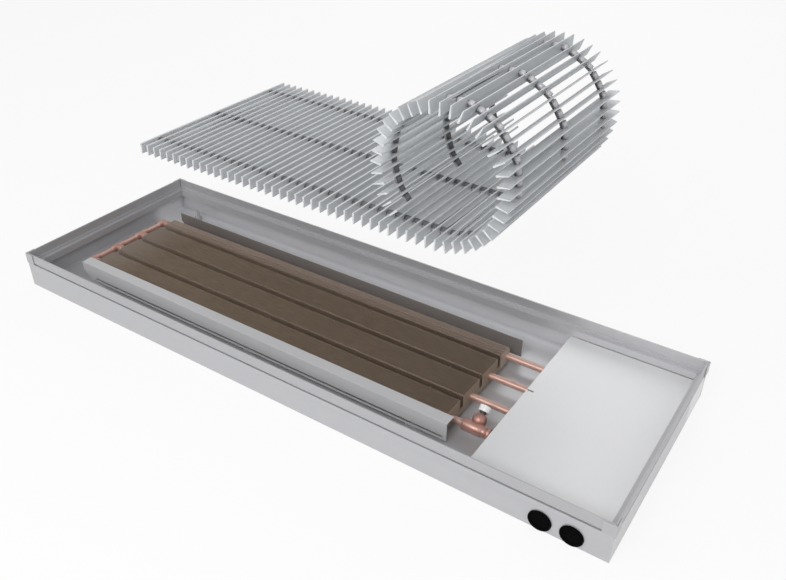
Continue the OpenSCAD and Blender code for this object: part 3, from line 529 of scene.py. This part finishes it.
def makeSolder():
    s = solderJoints
    teeLow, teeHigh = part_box("vent_tee")
    headX, z, firstY, lastY = headerLine()
    rows = [firstY + (lastY - firstY) * i / (s["tubes"] - 1) for i in range(s["tubes"])]
    reach = s["socket"] * mm
    joints = [((headX + reach, y, z), 0) for y in rows]
    joints += [((headX, y + reach, z), 90) for y in rows[:-1]]
    joints += [((headX, y - reach, z), -90) for y in rows[1:]]
    joints += [((teeHigh.x, firstY, z), 0), ((teeLow.x, firstY, z), 180)]
    mesh = bmesh.new()
    for point, turn in joints:
        place = Matrix.Translation(point) @ Matrix.Rotation(math.radians(turn), 4, "Z")
        turned(mesh, place, s["profile"], s["sides"], True)
    placePiece("solderJoints", mesh, "solder", "heater")
    print("solder joints:", len(joints))


makeSolder()


# stout cast body of the vent tee round its run on the front tube
# its arms are the tee's reach to the left and to the right of the branch

ventBody = {"leftArm": 20.0, "rightArm": 22.0, "sides": 40,
            "profile": ((-19.0, 6.5), (-18.0, 7.6), (-16.5, 8.3), (9.5, 8.3), (10.5, 7.3),
                        (17.0, 7.3), (17.8, 8.0), (21.2, 8.0), (21.8, 7.4), (21.8, 6.65),
                        (-19.0, 5.9))}


def makeVentBody():
    s = ventBody
    low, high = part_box("vent_tee")
    _, z, firstY, _ = headerLine()
    x = low.x + (high.x - low.x) * s["leftArm"] / (s["leftArm"] + s["rightArm"])
    mesh = bmesh.new()
    turned(mesh, Matrix.Translation((x, firstY, z)), s["profile"], s["sides"], True)
    placePiece("ventBody", mesh, "copper", "heater")
    print("vent body made")


makeVentBody()


# near-black slit leaves across the grommet bores: a dark sheet painted in for the shade inside the
# holes

boreShadeLeaves = {"radius": 10.85, "thickness": 0.6, "leaves": 6, "slit": 0.12, "depth": 0.7,
              "arcSteps": 7, "arcShare": 0.96}


def makeBoreShadeLeaves():
    s = boreShadeLeaves
    low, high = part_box("grommets")
    mesh = bmesh.new()
    radius = s["radius"] * mm
    holes = [row["pos_m"] for row in frame["record"]["mounts"] if row["name"].endswith("_hole")]
    for x, _, z in holes:
        for leaf in range(s["leaves"]):
            start, stop = (2 * math.pi * (leaf + k) / s["leaves"] for k in (0, 1))
            middle, width = (start + stop) / 2, (stop - start) * s["arcShare"]
            shift = Vector((math.cos(middle), 0, math.sin(middle))) * s["slit"] * mm
            rim = [middle + width * (i / s["arcSteps"] - 0.5) for i in range(s["arcSteps"] + 1)]
            faces = []
            for depth in (s["depth"], s["depth"] + s["thickness"]):
                y = low.y + depth * mm
                arc = [Vector((x + math.cos(a) * radius, y, z + math.sin(a) * radius)) for a in rim]
                faces.append([mesh.verts.new(point) for point in [Vector((x, y, z)) + shift, *arc]])
            front, back = faces
            mesh.faces.new(front)
            mesh.faces.new(list(reversed(back)))
            for i in range(len(front)):
                j = (i + 1) % len(front)
                mesh.faces.new((front[j], front[i], back[i], back[j]))
    placePiece("boreShadeLeaves", mesh, "grommet_rubber", "heater", smooth=False)
    print("grommets closed:", len(holes))


makeBoreShadeLeaves()


# the grille's links: a sleeve between each pair of slats, its upper half dark as painted shade and
# its lower half light as painted light, round a coil spring through them all; lengths in
# millimetres, turns in degrees

grilleLinks = {"pitch": 13.66, "slat": 3.0, "groups": (3,) * 11 + (2,), "firstTurn": 18.0,
               "groupTurn": 27.0, "lastTurn": 22.5, "innerTurn": 4.5, "rowStep": 128.0,
               "shadedTopOuter": 5.6, "litUndersideOuter": 3.95, "inner": 3.1, "hingeInner": 3.5,
               "flatLength": 10.06, "groupLength": 9.76, "hingeLength": 7.6, "spread": 66.0,
               "seam": 2.0, "litUndersideShort": 0.4, "coil": (2.15, 2.4), "coilStep": 0.9, "coilEnd": 0.6,
               "sides": 12, "extra": ("spring_wire", "sleeve_lit_underside"), "coilMaterial": 1,
               "litUndersideMaterial": 2}


def coilProfile(start, stop):
    # the coil spring as a ribbed rod, from start to stop along its axis
    s = grilleLinks
    count = max(2, round((stop - start) / (s["coilStep"] / 2)))
    return [(start + (stop - start) * i / count, s["coil"][i % 2]) for i in range(count + 1)]


def onRoll(point, turn, y):
    # a place on the grille's line, with local X along it
    return Matrix.Translation((point.x, y, point.z)) @ Matrix.Rotation(-math.radians(turn), 4, "Y")


def addCoil(mesh, place, start, stop):
    s = grilleLinks
    turned(mesh, place, coilProfile(start, stop), s["sides"], False, s["coilMaterial"])


def placeLinks(name, mesh, body, node):
    piece = placePiece(name, mesh, "spacer_plastic", body, extra=grilleLinks["extra"])
    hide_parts(node)


def makeGrilleLinks():
    s = grilleLinks
    low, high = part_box("grille_flat")
    pitch, half = s["pitch"] * mm, s["pitch"] / 2
    middleY, z = (low.y + high.y) / 2, (low.z + high.z) / 2
    rowsY = [middleY + k * s["rowStep"] * mm for k in (-1, 0, 1)]
    firstX, lastX = low.x + s["slat"] / 2 * mm, high.x - s["slat"] / 2 * mm
    stop = (lastX - firstX) / mm + half - s["coilEnd"]
    mesh = bmesh.new()
    for y in rowsY:
        for i in range(round((lastX - firstX) / pitch)):
            gap = Vector((firstX + (i + 0.5) * pitch, 0, z))
            litAndShadedSleeve(mesh, onRoll(gap, 0, y), s["flatLength"], s["inner"])
        addCoil(mesh, onRoll(Vector((firstX, 0, z)), 0, y), -s["slat"] / 2, stop)
    placeLinks("flatLinks", mesh, "grille", "grille_flat_links")
    point = Vector((lastX + pitch / 2, 0, z))
    turn = 0.0
    for k, count in enumerate(s["groups"], 1):
        last = k == len(s["groups"])
        turn += s["firstTurn"] if k == 1 else s["lastTurn"] if last else s["groupTurn"]
        mesh = bmesh.new()
        for j in range(count):
            here = turn + (j - (count - 1) / 2) * s["innerTurn"]
            angle = math.radians(here)
            step = Vector((math.cos(angle), 0, math.sin(angle))) * pitch / 2
            reach = s["slat"] / 2 if last and j == count - 1 else half - s["coilEnd"]
            if j == 0:  # the gap before the group's first slat is the one that bends
                back, length, inner = s["innerTurn"], s["hingeLength"], s["hingeInner"]
            else:
                back, length, inner = s["innerTurn"] / 2, s["groupLength"], s["inner"]
            for y in rowsY:
                litAndShadedSleeve(mesh, onRoll(point, here - back, y), length, inner)
                addCoil(mesh, onRoll(point + step, here, y), s["coilEnd"] - half, reach)
            point = point + 2 * step
        placeLinks("rollLinks_%d" % k, mesh, "roll_%d" % k, "roll_links_%d" % k)
    print("grille links made")


makeGrilleLinks()


# camera at the photograph's place, with its small roll

cameraSetup = {"aim": (1.3 * mm, 152.3 * mm, 0.0), "azimuth": 33.696, "elevation": 33.179,
               "roll": 0.354, "distance": 1362.95 * mm, "lens": 37.538, "sensor": 36.0}


def makeCamera():
    c = cameraSetup
    azimuth, elevation, roll = (math.radians(c[k]) for k in ("azimuth", "elevation", "roll"))
    back = Vector((math.sin(azimuth) * math.cos(elevation),
                   -math.cos(azimuth) * math.cos(elevation), math.sin(elevation)))
    right = Vector((math.cos(azimuth), math.sin(azimuth), 0))
    up = back.cross(right)
    across = math.cos(roll) * right + math.sin(roll) * up
    upward = math.cos(roll) * up - math.sin(roll) * right
    data = bpy.data.cameras.new("camera")
    data.lens = c["lens"]
    data.sensor_width = c["sensor"]
    camera = bpy.data.objects.new("camera", data)
    turn = Matrix((across, upward, back)).transposed().to_4x4()
    camera.matrix_world = Matrix.Translation(Vector(c["aim"]) + back * c["distance"]) @ turn
    bpy.context.scene.collection.objects.link(camera)
    bpy.context.scene.camera = camera


makeCamera()
print("camera set")


# plain studio: pale floor, white surroundings for the camera, soft lamps

studio = {"floorSize": 30.0, "floorDrop": 0.2, "floorColour": (0.82, 0.82, 0.83),
          "floorSpread": 1.03, "floorPatches": 3.0, "floorDetail": 3.0, "floorRoughness": 0.8,
          "floorWhite": 0.86, "surround": 0.50,
          "lamps": [("keyLamp", (-1.2, -1.9, 1.9), (0, 0, 0.05), 1.6, 12.0),
                    ("fillLamp", (2.2, -0.6, 1.6), (0, 0, 0.1), 1.8, 5.5),
                    ("underLamp", (0.35, -1.5, 1.35), (-0.05, 0.12, 0.02), 0.8, 17.0),
                    ("backLamp", (-0.6, 2.2, 1.7), (0, 0.1, 0.1), 1.6, 12.0)]}


def whiteForCamera(tree, shaderSocket, white, output):
    # the camera, and mirrors and glass, see mostly plain white; the part's light stays as it is
    path = addNode(tree, "ShaderNodeLightPath")
    seen = mathNode(tree, "MAXIMUM", path.outputs["Is Camera Ray"], path.outputs["Is Glossy Ray"])
    seen = mathNode(tree, "MAXIMUM", seen, path.outputs["Is Transmission Ray"])
    glow = addNode(tree, "ShaderNodeEmission", None, {"Color": (1, 1, 1, 1), "Strength": 1.0})
    mix = addNode(tree, "ShaderNodeMixShader")
    linkUp(tree, (mathNode(tree, "MULTIPLY", seen, white), mix.inputs[0]),
           (shaderSocket, mix.inputs[1]), (glow.outputs[0], mix.inputs[2]),
           (mix.outputs[0], output.inputs["Surface"]))


def makeFloor():
    s = studio
    half, level = s["floorSize"] / 2, cadLow.z - s["floorDrop"] * mm
    corners = [(-half, -half, level), (half, -half, level), (half, half, level),
               (-half, half, level)]
    mesh = bpy.data.meshes.new("studioFloor")
    mesh.from_pydata(corners, [], [(0, 1, 2, 3)])
    floor = bpy.data.objects.new("studioFloor", mesh)
    material = bpy.data.materials.new("paleFloor")
    material.use_nodes = True
    tree = material.node_tree
    shader = tree.nodes["Principled BSDF"]
    coords = addNode(tree, "ShaderNodeTexCoord")
    tone = addNode(tree, "ShaderNodeTexNoise", None,
                   {"Scale": s["floorPatches"], "Detail": s["floorDetail"]})
    pale = tuple(min(1.0, c * s["floorSpread"]) for c in s["floorColour"])
    mixed = mixColour(tree, tone.outputs["Fac"], s["floorColour"], pale)
    linkUp(tree, (coords.outputs["Object"], tone.inputs["Vector"]),
           (mixed, shader.inputs["Base Color"]))
    shader.inputs["Roughness"].default_value = s["floorRoughness"]
    whiteForCamera(tree, shader.outputs[0], s["floorWhite"], tree.nodes["Material Output"])
    mesh.materials.append(material)
    bpy.context.scene.collection.objects.link(floor)


def makeLamps():
    # each lamp: name, place, aim, size, power
    for name, place, aim, size, power in studio["lamps"]:
        data = bpy.data.lights.new(name, "AREA")
        data.shape = "SQUARE"
        data.size = size
        data.energy = power
        lamp = bpy.data.objects.new(name, data)
        lamp.location = place
        lamp.rotation_mode = "QUATERNION"
        lamp.rotation_quaternion = (Vector(aim) - Vector(place)).to_track_quat("-Z", "Y")
        bpy.context.scene.collection.objects.link(lamp)


def makeSurround():
    # grey light all round, seen as plain white by the camera
    world = bpy.data.worlds.new("surround")
    world.use_nodes = True
    tree = world.node_tree
    tree.nodes.clear()
    output = addNode(tree, "ShaderNodeOutputWorld")
    dim, white = (addNode(tree, "ShaderNodeBackground", None,
                          {"Color": (1, 1, 1, 1), "Strength": strength})
                  for strength in (studio["surround"], 1.0))
    path = addNode(tree, "ShaderNodeLightPath")
    mix = addNode(tree, "ShaderNodeMixShader")
    linkUp(tree, (path.outputs["Is Camera Ray"], mix.inputs[0]), (dim.outputs[0], mix.inputs[1]),
           (white.outputs[0], mix.inputs[2]), (mix.outputs[0], output.inputs["Surface"]))
    bpy.context.scene.world = world
    bpy.context.scene.view_settings.view_transform = "Standard"


makeFloor()
makeLamps()
makeSurround()
print("studio ready")
